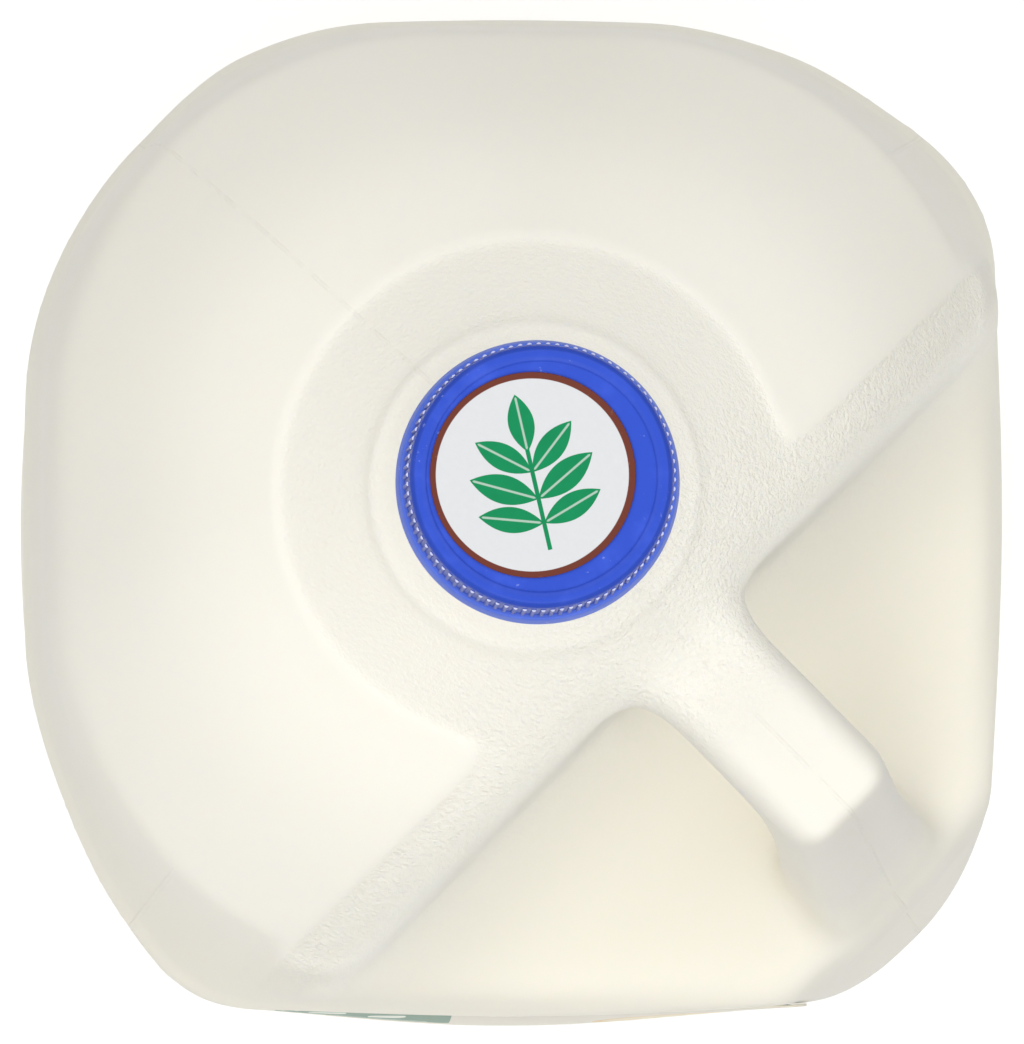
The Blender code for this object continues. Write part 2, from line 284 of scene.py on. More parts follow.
# Inputs of the body's tree, with the property that sets each.
BODY_INPUTS = (
    ("Body Half Width", "body_half"),
    ("Crease Half Width", "crease_half"),
    ("Panel Bulge", "panel_bulge"),
    ("Bead", "bead"),
    ("Shoulder Panel Rise", "panel_rise"),
    ("Handle Half Width", "handle_half"),
    ("Handle Depth", "handle_depth"),
    ("Grid Spacing", "grid_spacing"),
)


def new_geometry_tree(name, inputs):
    """A tree with a mesh output and these named inputs, and the wires from the inputs."""
    tree = bpy.data.node_groups.new(name, "GeometryNodeTree")
    tree.interface.new_socket("Geometry", in_out="OUTPUT", socket_type="NodeSocketGeometry")
    for label, kind in inputs:
        tree.interface.new_socket(label, in_out="INPUT", socket_type=kind)
    graph = Graph(tree)
    entry = tree.nodes.new("NodeGroupInput")
    return graph, {label: Wire(graph, entry.outputs[label]) for label, kind in inputs}


def close_geometry_tree(graph, mesh, material, smooth=True):
    """Ends a tree in Realize Instances, smooth shading and Set Material."""
    real = graph.node("GeometryNodeRealizeInstances", {}, {"Geometry": mesh})
    shaded = graph.node("GeometryNodeSetShadeSmooth", {}, {"Geometry": real, "Shade Smooth": smooth})
    done = graph.node("GeometryNodeSetMaterial", {}, {"Geometry": shaded, "Material": material})
    exit_node = graph.tree.nodes.new("NodeGroupOutput")
    graph.tree.links.new(done.socket, exit_node.inputs[0])


def grow(name, tree, values):
    """Runs a geometry tree once, and keeps the result as a plain mesh object."""
    made = bpy.data.objects.new(name, bpy.data.meshes.new(name))
    bpy.context.scene.collection.objects.link(made)
    modifier = made.modifiers.new("Grow", "NODES")
    modifier.node_group = tree
    for item in tree.interface.items_tree:
        if item.item_type == "SOCKET" and item.in_out == "INPUT" and item.name in values:
            modifier[item.identifier] = values[item.name]
    depsgraph = bpy.context.evaluated_depsgraph_get()
    mesh = bpy.data.meshes.new_from_object(made.evaluated_get(depsgraph))
    made.modifiers.remove(modifier)
    made.data = mesh
    return made


def plan_shape(graph, x, y, z, wires):
    """Distance to the walls and the shoulder, without neck, hollow or handle."""
    u = (x + y) * ROOT_HALF
    v = (x - y) * ROOT_HALF
    around = graph.length(x, y)
    low_corner = graph.rise(x, -CORNER_EASE, CORNER_EASE) * (HANDLE_CORNER - BACK_CORNER) + BACK_CORNER
    low_corner = low_corner - graph.rise(x, 25 * MM, 60 * MM) * (HANDLE_CORNER - TIGHT_CORNER)

    # Walls: beads above and below the full panels, then in towards the crease.
    upper = graph.share(z, UPPER_BEAD_Z, CREASE_Z)
    panel = graph.share(z, LOWER_BEAD_Z, UPPER_BEAD_Z)
    fullness = graph.larger(graph.sine(panel * math.pi), 0.0) ** 0.6
    above = graph.rise(panel, 0.75, 1.0) * (1 - upper) * BEAD_BULGE
    bulge = graph.common(fullness * wires["Panel Bulge"], above, 0.8 * MM)
    from_face = graph.math(
        "ARCTANGENT", graph.smaller(abs(u), abs(v)) / graph.larger(graph.larger(abs(u), abs(v)), MM)
    )
    off_middle = from_face / PANEL_SPAN
    belly = graph.larger(1 - off_middle * off_middle, 0.0) ** 2
    lower_bead = (z - LOWER_BEAD_Z) / BEAD_RISE
    upper_bead = (z - UPPER_BEAD_Z) / BEAD_RISE
    beads = graph.math("EXPONENT", lower_bead * lower_bead * -1) + graph.math(
        "EXPONENT", upper_bead * upper_bead * -1
    )
    taper = upper**1.5 * (wires["Crease Half Width"] - wires["Body Half Width"])
    wall_half = wires["Body Half Width"] + taper + bulge * belly + beads * wires["Bead"]
    ridge_end = graph.rise(x, 20 * MM, 25 * MM) * graph.rise(x, 35 * MM, 33 * MM)
    wall_half = wall_half + ridge_end * graph.rise(z, 122 * MM, 140 * MM) * (1.2 * MM)
    wall_corner = low_corner + (CREASE_CORNER - low_corner) * upper
    facing = graph.rise(abs(v) - abs(u), 0.0, FACE_EASE)
    wall_half = wall_half + facing * FRONT_PROUD * (1 - upper)
    wall = rounded_square(graph, u, v, wall_half, wall_corner)

    # Shoulder: a little convex, from a rounded square at the crease to a circle at the neck.
    height = (z - CREASE_Z) / (STEP_Z - CREASE_Z)
    within = graph.smaller(graph.larger(height, 0.0), 1.0)
    guess = within - graph.sine(within * math.pi) * SHOULDER_SWELL
    guess = within - graph.sine(guess * math.pi) * SHOULDER_SWELL
    inward = height - graph.sine(guess * math.pi) * SHOULDER_SWELL
    # The cone round the neck runs on at the slope that the shoulder ends with.
    inward = inward + graph.larger(height - 1, 0.0) * CONE_SLOPE
    shoulder_half = wires["Crease Half Width"] + (STEP_R - wires["Crease Half Width"]) * inward
    inward_only = graph.smaller(graph.larger(inward, 0.0), 1.0)
    corner = CREASE_CORNER + (STEP_R - CREASE_CORNER) * inward_only
    shoulder_corner = graph.smaller(corner, shoulder_half)
    slope = math.cos(math.atan((CREASE_HALF - STEP_R) / (STEP_Z - CREASE_Z)))
    shoulder = rounded_square(graph, u, v, shoulder_half, shoulder_corner) * slope
    raised = 1 - graph.rise(panel_edge(graph, x, around), -1.0 * MM, 1.0 * MM)
    shoulder = shoulder - raised * wires["Shoulder Panel Rise"]

    # The crease is softest on the side away from the handle's plane, at the left of the label.
    softness = graph.rise(u * -1, 45 * MM, 70 * MM) * (3.0 * MM) + 2.4 * MM
    return graph.common(wall, shoulder, softness), around


def hollow_shape(graph, x, z):
    """Distance to the space under the handle, negative inside it."""
    lean = (RAMP_FOOT[0] - RAMP_TOP[0]) / (RAMP_TOP[1] - RAMP_FOOT[1])
    fall = (FLOOR_INNER[1] - FLOOR_OUTER[1]) / (FLOOR_OUTER[0] - FLOOR_INNER[0])
    ramp = ((RAMP_TOP[1] - z) * lean + RAMP_TOP[0] - x) * math.cos(math.atan(lean))
    floor = ((FLOOR_INNER[0] - x) * fall + FLOOR_INNER[1] - z) * math.cos(math.atan(fall))
    a = ramp + HOLLOW_FILLET
    b = floor + HOLLOW_FILLET
    rounded = graph.length(graph.larger(a, 0.0), graph.larger(b, 0.0))
    return rounded + graph.smaller(graph.larger(a, b), 0.0) - HOLLOW_FILLET


def below_line(graph, start, end, x, z):
    """Distance outside a straight line in the handle's plane, on its left from start to end."""
    run = (Vector(end) - Vector(start)).normalized()
    return (z - start[1]) * run.x - (x - start[0]) * run.y


def handle_shape(graph, x, y, z, half, depth):
    """Distance to the handle: a bent bar with a flat top and back, and rounded edges."""
    top = below_line(graph, *HANDLE_TOP, x, z)
    back = below_line(graph, *HANDLE_BACK, x, z)
    outer = graph.common(top, back, 4 * MM)
    inner = graph.common(top + depth, back + depth, 16 * MM)
    bar = graph.common(outer, inner * -1, 5 * MM) + HANDLE_EDGE
    flared = half + graph.rise(z, 165 * MM, 116 * MM) * (2.2 * MM)
    side = abs(y) - flared + HANDLE_EDGE
    rounded = graph.length(graph.larger(bar, 0.0), graph.larger(side, 0.0))
    return rounded + graph.smaller(graph.larger(bar, side), 0.0) - HANDLE_EDGE


def body_tree(material):
    """The jug's body: one distance field for its rules, skinned where it is zero."""
    inputs = [(label, "NodeSocketFloat") for label, setting in BODY_INPUTS]
    graph, wires = new_geometry_tree("Moulded body", inputs)
    position = graph.node("GeometryNodeInputPosition")
    world_x, y, z = graph.split(position)
    x = world_x - NECK_X

    solid, around = plan_shape(graph, x, y, z, wires)
    solid = graph.common(solid, z - NECK_FOOT_Z, 3 * MM)
    ring = graph.common(around - NECK_RING_R, z - NECK_RING_Z, 1.5 * MM)
    solid = graph.joined(solid, ring, 1.5 * MM)
    neck = graph.common(around - NECK_R, z - NECK_TOP_Z, MM)
    solid = graph.joined(solid, neck, 2 * MM)
    dish = (1 - graph.rise(around, PUSH_UP_R * PUSH_UP_TAPER, PUSH_UP_R)) * PUSH_UP_DEPTH
    solid = graph.common(solid, dish - z, 7 * MM)

    hollow = hollow_shape(graph, x, z)
    solid = graph.common(solid, hollow * -1, 11 * MM)
    corner = graph.smaller(below_line(graph, CORNER_RIM, CORNER_END, x, z), x - 70 * MM)
    solid = graph.common(solid, corner, 3 * MM)
    bar = handle_shape(graph, x, y, z, wires["Handle Half Width"], wires["Handle Depth"])
    bar = graph.common(bar, 110 * MM - z, 4 * MM)
    solid = graph.joined(solid, graph.common(bar, 20 * MM - x, 4 * MM), 13 * MM)

    low = Vector((-96 * MM, -96 * MM, -6 * MM))
    high = Vector((96 * MM, 96 * MM, 256 * MM))
    reach = high - low
    counts = [graph.math("CEIL", size / wires["Grid Spacing"]) for size in reach]
    grid = graph.node(
        "GeometryNodeVolumeCube", {},
        {
            "Density": solid * -1, "Background": -1.0, "Min": low, "Max": high,
            "Resolution X": counts[0], "Resolution Y": counts[1], "Resolution Z": counts[2],
        },
    )
    skin = graph.node(
        "GeometryNodeVolumeToMesh", {"resolution_mode": "GRID"}, {"Volume": grid, "Threshold": 0.0}
    )
    settled = skin
    for step in range(2):
        outward = graph.node("GeometryNodeInputNormal")
        offset = graph.node("ShaderNodeVectorMath", {"operation": "SCALE"}, {0: outward, 3: solid * -1})
        settled = graph.node("GeometryNodeSetPosition", {}, {"Geometry": settled, "Offset": offset})
    close_geometry_tree(graph, settled, material)
    return graph.tree


def new_material(name):
    """A material with one Principled shader, its graph and a way to set the shader's sockets."""
    made = bpy.data.materials.new(name)
    made.use_nodes = True
    made.node_tree.nodes.clear()
    return made, Graph(made.node_tree)


def finish_material(graph, inputs):
    """Feeds one Principled shader and joins it to the output."""
    shader = graph.node("ShaderNodeBsdfPrincipled", {}, inputs)
    graph.node("ShaderNodeOutputMaterial", {}, {"Surface": shader})


def opaque(colour):
    return (*colour[:3], 1.0)


def object_point(graph):
    """Object coordinates from the neck's axis, as a vector and its three numbers."""
    place = graph.node("ShaderNodeTexCoord", {}, {}, "Object")
    centred = graph.node(
        "ShaderNodeVectorMath", {"operation": "SUBTRACT"}, {0: place, 1: (NECK_X, 0.0, 0.0)}
    )
    return centred, graph.split(centred)


def milk_white_material(colour):
    """Cream polythene, stippled round the neck and along the ridge, with fine parting lines."""
    made, graph = new_material("milk white polythene")
    place, (x, y, z) = object_point(graph)
    around = graph.length(x, y)
    outside_panel = graph.rise(panel_edge(graph, x, around), -0.5 * MM, 0.5 * MM)
    high_up = graph.rise(z, 122 * MM, 160 * MM)
    off_handle = 1 - graph.rise(x, 37 * MM, 54 * MM)
    stippled = outside_panel * high_up * off_handle

    grain = graph.noise(place, 1300.0, 2.0, 0.55)
    pits = graph.noise(place, 2200.0, 1.0, 0.5)
    ripple = graph.noise(place, 45.0, 2.0, 0.5)
    stipple = (grain * 0.7 + pits * 0.3) * stippled

    broken = graph.noise(place, 160.0, 3.0, 0.7)
    seam = (1 - graph.rise(abs(y), 0.12 * MM, 0.38 * MM)) * graph.rise(broken, 0.38, 0.56)
    seam = seam * graph.rise(z, 20 * MM, 30 * MM)
    side_x = abs(x - abs(y) * 0.09 + 5.0 * MM)
    reach = graph.rise(around, 60 * MM, 70 * MM) * 0.2 + graph.rise(around, 77 * MM, 79 * MM) * 0.8
    side_seam = (1 - graph.rise(side_x, 0.15 * MM, 0.45 * MM)) * reach

    # The stipple is coarsest along the ridge over the hollow.
    ridge = graph.rise(x, 4 * MM, 26 * MM)
    height = stipple * (ridge * 0.49 + 0.24) * MM
    height = height - outside_panel * high_up * (ridge * 0.32 + 0.16) * MM + ripple * (0.25 * MM)
    height = height + seam * (0.10 * MM) + side_seam * (0.08 * MM)
    bump = graph.node("ShaderNodeBump", {}, {"Height": height, "Distance": 1.0, "Strength": 1.0})

    warm = tuple(part * tint for part, tint in zip(colour, (0.99, 0.985, 0.975)))
    cloudy = graph.noise(place, 22.0, 3.0, 0.55)
    base = graph.mix(graph.rise(cloudy, 0.35, 0.75), opaque(colour), opaque(warm))
    # Painted shade: below the shoulder the walls are painted a little darker and creamier, set under the
    # stage's light.
    creamy_painted_shade = tuple(part * tint for part, tint in zip(colour, (0.965, 0.955, 0.92)))
    base = graph.mix(graph.rise(z, 165 * MM, 125 * MM), base, opaque(creamy_painted_shade))
    # A darker tone, used for painted shade and for the parting lines.
    shade_and_seam_tone = tuple(part * 0.86 for part in colour)
    # Painted shade in the stipple's pits, where the grain is low.
    pit_painted_shade = stipple * graph.rise(grain, 0.62, 0.38) * 0.04
    base = graph.mix(pit_painted_shade, base, opaque(shade_and_seam_tone))
    base = graph.mix(seam * 0.12, base, opaque(shade_and_seam_tone))
    # These tones are painted light and shade, set under the stage's light. The hollow's steep side is
    # painted lighter.
    steep_painted_light = graph.rise(x, 28 * MM, 33 * MM) * graph.rise(x, 50 * MM, 40 * MM)
    steep_painted_light = steep_painted_light * graph.rise(abs(y), 10 * MM, 16 * MM) * high_up
    painted_light_tone = tuple(min(part * 1.13, 0.97) for part in colour)
    base = graph.mix(steep_painted_light, base, opaque(painted_light_tone))
    # Painted shade: the handle and the corner at its foot are painted a little darker.
    hollow = graph.rise(x, 34 * MM, 48 * MM) * graph.rise(z, 120 * MM, 150 * MM)
    base = graph.mix(hollow * 0.75, base, opaque(shade_and_seam_tone))
    foot = graph.rise(x, 80 * MM, 87 * MM) * graph.rise(abs(y), 36 * MM, 20 * MM)
    base = graph.mix(foot * 0.7, base, opaque(shade_and_seam_tone))
    rough = 0.40 + stippled * 0.12 + cloudy * 0.06
    finish_material(graph, {
        "Base Color": base, "Roughness": rough, "Normal": bump, "IOR": 1.5,
        "Specular IOR Level": 0.10, "Subsurface Weight": 0.32,
        "Subsurface Radius": (1.0, 0.85, 0.6), "Subsurface Scale": 0.008,
    })
    return made


def blue_material(name, colour, fleck, roughness):
    """Glossy blue polythene with faint flow marks."""
    made, graph = new_material(name)
    place, (x, y, z) = object_point(graph)
    flow = graph.noise(place, 180.0, 3.0, 0.6)
    fine = graph.noise(place, 1500.0, 2.0, 0.5)
    light = tuple(min(1.0, part * 1.25 + 0.02) for part in colour)
    base = graph.mix(graph.rise(flow, 0.45, 0.8) * 0.5, opaque(colour), opaque(light))
    scuffs = graph.rise(graph.noise(place, 420.0, 4.0, 0.75), 0.66, 0.72)
    base = graph.mix(scuffs * fleck, base, (0.55, 0.62, 0.9, 1.0))
    # The ribs' upper ends are painted paler, as they show in the photo: a painted highlight.
    rib_tip_painted_highlight = graph.rise(graph.length(x, y), 19.37 * MM, 19.46 * MM) * graph.rise(z, 250.6 * MM, 251.2 * MM)
    base = graph.mix(rib_tip_painted_highlight, base, (0.72, 0.75, 0.92, 1.0))
    bump = graph.node(
        "ShaderNodeBump", {},
        {"Height": fine * (0.02 * MM) + flow * (0.03 * MM), "Distance": 1.0, "Strength": 1.0},
    )
    finish_material(graph, {
        "Base Color": base, "Roughness": roughness + flow * 0.08, "Normal": bump,
        "Specular IOR Level": 0.12,
    })
    return made


def leaf(graph, x, y, foot, angle, length, width):
    """How far a point is inside a pointed leaf, and how near it is to the leaf's middle line."""
    across, up = x - foot[0], y - foot[1]
    along = (across * math.cos(angle) + up * math.sin(angle)) / length
    aside = abs(up * math.cos(angle) - across * math.sin(angle))
    swell = along * (1 - along) * (4 * width)
    return swell - aside, aside


def seal_material(rim, white, green):
    """A printed paper disc: brown rim, white ground and a green sprig."""
    made, graph = new_material("printed seal")
    place, (x, y, z) = object_point(graph)
    # The print's own axes, turned so that the sprig stands up across the jug's diagonal.
    from_x, from_y = x - SEAL_SHIFT[0], y - SEAL_SHIFT[1]
    px = from_x * math.cos(SEAL_TURN) + from_y * math.sin(SEAL_TURN)
    py = from_y * math.cos(SEAL_TURN) - from_x * math.sin(SEAL_TURN)
    around = graph.length(px + 0.1 * MM, py)
    ring = graph.rise(around, SEAL_RING_R, SEAL_RING_R + 0.12 * MM)

    side = abs(px)
    leaves = (
        ((0.0, -7.2 * MM), 18, 9.6 * MM, 1.9 * MM),
        ((0.0, -3.6 * MM), 28, 10.4 * MM, 2.1 * MM),
        ((0.0, 0.4 * MM), 40, 9.4 * MM, 1.9 * MM),
        ((0.0, 3.4 * MM), 90, 8.6 * MM, 1.9 * MM),
    )
    inside = None
    vein = None
    for foot, degrees, length, width in leaves:
        depth, aside = leaf(graph, side, py, foot, math.radians(degrees), length, width)
        line = graph.rise(aside, 0.22 * MM, 0.10 * MM) * graph.rise(depth, 0.25 * MM, 0.4 * MM)
        inside = depth if inside is None else graph.larger(inside, depth)
        vein = line if vein is None else graph.larger(vein, line)
    stem = graph.smaller(0.32 * MM - side, graph.smaller(py + 11.2 * MM, 4.0 * MM - py))
    inside = graph.larger(inside, stem)
    printed = graph.rise(inside, -0.04 * MM, 0.04 * MM)

    fibre = graph.noise(place, 900.0, 3.0, 0.6)
    pale = tuple(part * 0.94 for part in white)
    ground = graph.mix(fibre, opaque(white), opaque(pale))
    deep = tuple(part * 0.8 for part in green)
    ink = graph.mix(graph.noise(place, 350.0, 2.0, 0.5), opaque(green), opaque(deep))
    light_green = tuple(part * 0.5 + 0.35 for part in green)
    ink = graph.mix(vein, ink, opaque(light_green))
    face = graph.mix(printed, ground, ink)
    worn = graph.rise(graph.noise(place, 600.0, 3.0, 0.7), 0.62, 0.74) * 0.25
    brown = graph.mix(worn, opaque(rim), (0.45, 0.30, 0.22, 1.0))
    base = graph.mix(ring, face, brown)
    bump = graph.node("ShaderNodeBump", {}, {"Height": fibre * (0.02 * MM), "Distance": 1.0})
    finish_material(graph, {
        "Base Color": base, "Roughness": 0.42 + fibre * 0.1, "Normal": bump,
        "Specular IOR Level": 0.15,
    })
    return made


def label_material(cream, green, blue):
    """A printed paper label: cream ground, a green block with simple marks and a blue field."""
    made, graph = new_material("printed label")
    place, (x, y, z) = object_point(graph)
    across = (x + y) * ROOT_HALF
    middle = (LABEL_LOWER_Z + LABEL_UPPER_Z) / 2
    up = z - middle

    def box(centre_x, centre_y, half_x, half_y, corner):
        """1 inside a rounded box of the print."""
        out_x = graph.larger(abs(across - centre_x) - (half_x - corner), 0.0)
        out_y = graph.larger(abs(up - centre_y) - (half_y - corner), 0.0)
        return graph.rise(graph.length(out_x, out_y) - corner, 0.06 * MM, -0.06 * MM)

    def disc(centre_x, centre_y, radius):
        out = graph.length(across - centre_x, up - centre_y)
        return graph.rise(out - radius, 0.06 * MM, -0.06 * MM)

    fibre = graph.noise(place, 500.0, 4.0, 0.6)
    dusk = tuple(part * 0.93 for part in cream)
    base = graph.mix(fibre, opaque(cream), opaque(dusk))

    block = box(-23.5 * MM, 27.5 * MM, 14.0 * MM, 12.2 * MM, 2.0 * MM)
    base = graph.mix(block, base, opaque(green))
    pale = (0.72, 0.78, 0.66, 1.0)
    for index in range(2):
        mark = leaf(
            graph, across, up, ((-32 + index * 9.5) * MM, 23 * MM), math.radians(62), 12 * MM, 2.3 * MM
        )[0]
        base = graph.mix(graph.rise(mark, -0.06 * MM, 0.06 * MM), base, pale)
    base = graph.mix(box(-23.5 * MM, 18.6 * MM, 10.5 * MM, 0.5 * MM, 0.4 * MM), base, pale)

    # The blue field rises to the right in one long wave.
    wave = graph.sine(across * 55 + 0.6) * (3.2 * MM) + across * 0.34
    field = graph.rise(up - wave + 15 * MM, 0.08 * MM, -0.08 * MM)
    base = graph.mix(field, base, opaque(blue))
    light_line = graph.rise(abs(up - wave + 13.2 * MM), 0.55 * MM, 0.45 * MM)
    base = graph.mix(light_line, base, (0.62, 0.42, 0.12, 1.0))
    sun = disc(24 * MM, 18 * MM, 10.5 * MM)
    base = graph.mix(sun, base, (0.70, 0.50, 0.20, 1.0))
    base = graph.mix(disc(24 * MM, 18 * MM, 8.8 * MM), base, (0.80, 0.70, 0.46, 1.0))

    bump = graph.node("ShaderNodeBump", {}, {"Height": fibre * (0.03 * MM), "Distance": 1.0})
    finish_material(graph, {
        "Base Color": base, "Roughness": 0.42 + fibre * 0.12, "Normal": bump,
        "Coat Weight": 0.15,
    })
    return made


def floor_material():
    made, graph = new_material("studio floor")
    place = graph.node("ShaderNodeTexCoord", {}, {}, "Object")
    across, along, height = graph.split(place)
    # Painted pool of light: the floor is painted white near the jug and dark grey further out.
    beyond_painted_pool = graph.rise(graph.length(across, along), PAINTED_POOL_INNER_R, PAINTED_POOL_OUTER_R)
    base = graph.mix(beyond_painted_pool, (0.95, 0.95, 0.95, 1.0), (0.18, 0.18, 0.18, 1.0))
    finish_material(graph, {"Base Color": base, "Roughness": 0.9, "Specular IOR Level": 0.1})
    return made


def mesh_object(name, build, material=None):
    """A new object whose mesh is filled by build(bmesh)."""
    mesh = bpy.data.meshes.new(name)
    bm = bmesh.new()
    build(bm)
    bm.to_mesh(mesh)
    bm.free()
    made = bpy.data.objects.new(name, mesh)
    bpy.context.scene.collection.objects.link(made)
    if material:
        mesh.materials.append(material)
    return made


def lathe(bm, profile, steps):
    """Turns a closed profile of radius and height about the neck's axis, faces outwards.

    The profile starts and ends on the axis, or closes on itself as a ring."""
    solid = abs(profile[0][0]) < 1e-9
    rings = []
    for radius, height in profile:
        if abs(radius) < 1e-9:
            rings.append([bm.verts.new((NECK_X, 0, height))])
            continue
        ring = []
        for step in range(steps):
            angle = 2 * math.pi * step / steps
            ring.append(bm.verts.new((
                NECK_X + radius * math.cos(angle), radius * math.sin(angle), height
            )))
        rings.append(ring)
    pairs = list(zip(rings, rings[1:])) + ([] if solid else [(rings[-1], rings[0])])
    for first, second in pairs:
        for step in range(steps):
            after = (step + 1) % steps
            corners = [first[step % len(first)], first[after % len(first)]]
            corners += [second[after % len(second)], second[step % len(second)]]
            corners = list(dict.fromkeys(corners))
            if len(corners) > 2:
                bm.faces.new(corners)
    bmesh.ops.recalc_face_normals(bm, faces=bm.faces)


def rounded_profile(points, steps=4):
    """A profile with each corner that has a radius rounded off. Points are radius, height, rounding."""
    made = []
    for index, (r, h, rounding) in enumerate(points):
        if not rounding:
            made.append((r, h))
            continue
        here = Vector((r, h))
        before = Vector(points[index - 1][:2]) - here
        after = Vector(points[(index + 1) % len(points)][:2]) - here
        cut = min(rounding, before.length * 0.45, after.length * 0.45)
        start, end = here + before.normalized() * cut, here + after.normalized() * cut
        for step in range(steps + 1):
            t = step / steps
            point = start * (1 - t) ** 2 + here * (2 * t * (1 - t)) + end * t**2
            made.append((point.x, point.y))
    return made


def rib_tree(material):
    """Ribs round the cap's skirt, each a leaning bar with eight sides."""
    inputs = [
        ("Rib Count", "NodeSocketInt"), ("Rib Radius", "NodeSocketFloat"),
        ("Lower Radius", "NodeSocketFloat"), ("Upper Radius", "NodeSocketFloat"),
        ("Lower Height", "NodeSocketFloat"), ("Upper Height", "NodeSocketFloat"),
    ]
    graph, wires = new_geometry_tree("Cap ribs", inputs)

    def point(radius, height):
        return graph.node("ShaderNodeCombineXYZ", {}, {"X": wires[radius], "Z": wires[height]})

    line = graph.node(
        "GeometryNodeCurvePrimitiveLine", {},
        {"Start": point("Lower Radius", "Lower Height"), "End": point("Upper Radius", "Upper Height")},
    )
    profile = graph.node(
        "GeometryNodeCurvePrimitiveCircle", {}, {"Resolution": 8, "Radius": wires["Rib Radius"]}
    )
    bar = graph.node(
        "GeometryNodeCurveToMesh", {}, {"Curve": line, "Profile Curve": profile, "Fill Caps": True}
    )
    spots = graph.node(
        "GeometryNodeMeshLine", {}, {"Count": wires["Rib Count"], "Offset": (0.0, 0.0, 0.0)}
    )
    index = graph.node("GeometryNodeInputIndex")
    turn = graph.node(
        "ShaderNodeCombineXYZ", {}, {"Z": index * (2 * math.pi) / wires["Rib Count"]}
    )
    ribs = graph.node(
        "GeometryNodeInstanceOnPoints", {}, {"Points": spots, "Instance": bar, "Rotation": turn}
    )
    placed = graph.node(
        "GeometryNodeTransform", {}, {"Geometry": ribs, "Translation": (NECK_X, 0.0, 0.0)}
    )
    close_geometry_tree(graph, placed, material, smooth=False)
    return graph.tree


def smooth_by_angle(piece, degrees):
    """Smooth shading, with sharp edges where the faces turn more than this."""
    piece.data.shade_smooth()
    bm = bmesh.new()
    bm.from_mesh(piece.data)
    for edge in bm.edges:
        if len(edge.link_faces) == 2:
            edge.smooth = edge.calc_face_angle(0.0) < math.radians(degrees)
    bm.to_mesh(piece.data)
    bm.free()


def absorb(piece, other):
    """Adds another object's mesh to a piece's, and removes the other."""
    bm = bmesh.new()
    bm.from_mesh(piece.data)
    bm.from_mesh(other.data)
    bm.to_mesh(piece.data)
    bm.free()
    bpy.data.objects.remove(other, do_unlink=True)


def settle(piece, node):
    """Rides a finished piece on the jug's one body, in place of its plain solid."""
    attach(piece, "root")
    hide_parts(node)


class JugBodySettings(bpy.types.PropertyGroup):
    """Sizes and colour of the moulded body."""

    body_half: bpy.props.FloatProperty(
        name="Body half width", description="From the neck's axis to a label panel",
        default=BODY_HALF, unit="LENGTH", precision=4)
    crease_half: bpy.props.FloatProperty(
        name="Crease half width", description="From the neck's axis to the shoulder crease",
        default=CREASE_HALF, unit="LENGTH", precision=4)
    panel_bulge: bpy.props.FloatProperty(
        name="Panel bulge", description="How far the full jug's panels belly out",
        default=PANEL_BULGE, unit="LENGTH", precision=4)
    bead: bpy.props.FloatProperty(
        name="Bead", description="How far the beads round the panels stand out",
        default=BEAD, unit="LENGTH", precision=4)
    panel_rise: bpy.props.FloatProperty(
        name="Shoulder panel rise", description="How far the smooth shoulder stands proud",
        default=PANEL_RISE, unit="LENGTH", precision=4)
    handle_half: bpy.props.FloatProperty(
        name="Handle half width", description="Half the width of the handle across its flat top",
        default=HANDLE_HALF, unit="LENGTH", precision=4)
    handle_depth: bpy.props.FloatProperty(
        name="Handle depth", description="Thickness of the handle from its top to the finger hole",
        default=HANDLE_DEPTH, unit="LENGTH", precision=4)
    grid_spacing: bpy.props.FloatProperty(
        name="Grid spacing", description="Size of the cells that the body is skinned with",
        default=1.5 * MM, unit="LENGTH", precision=4)
    colour: bpy.props.FloatVectorProperty(
        name="Milk white", description="Colour of the polythene with milk behind it",
        default=(0.86, 0.838, 0.762), subtype="COLOR", min=0.0, max=1.0)


class JugCapSettings(bpy.types.PropertyGroup):
    """Sizes and colours of the cap, its band and its seal."""

    rib_count: bpy.props.IntProperty(
        name="Ribs", description="Number of ribs round the cap", default=90, min=3)
    rib_radius: bpy.props.FloatProperty(
        name="Rib radius", description="Half the width of a rib",
        default=0.36 * MM, unit="LENGTH", precision=5)
    blue: bpy.props.FloatVectorProperty(
        name="Cap blue", description="Colour of the cap",
        default=(0.029, 0.074, 0.49), subtype="COLOR", min=0.0, max=1.0)
    band_blue: bpy.props.FloatVectorProperty(
        name="Band blue", description="Colour of the thin band, which lets light through",
        default=(0.10, 0.18, 0.72), subtype="COLOR", min=0.0, max=1.0)
    seal_white: bpy.props.FloatVectorProperty(
        name="Seal white", description="Ground of the cap's seal",
        default=(0.60, 0.61, 0.625), subtype="COLOR", min=0.0, max=1.0)
    seal_green: bpy.props.FloatVectorProperty(
        name="Seal green", description="Green ink on the seal",
        default=(0.004, 0.235, 0.085), subtype="COLOR", min=0.0, max=1.0)
    seal_rim: bpy.props.FloatVectorProperty(
        name="Seal rim", description="Brown ring round the seal",
        default=(0.135, 0.033, 0.020), subtype="COLOR", min=0.0, max=1.0)


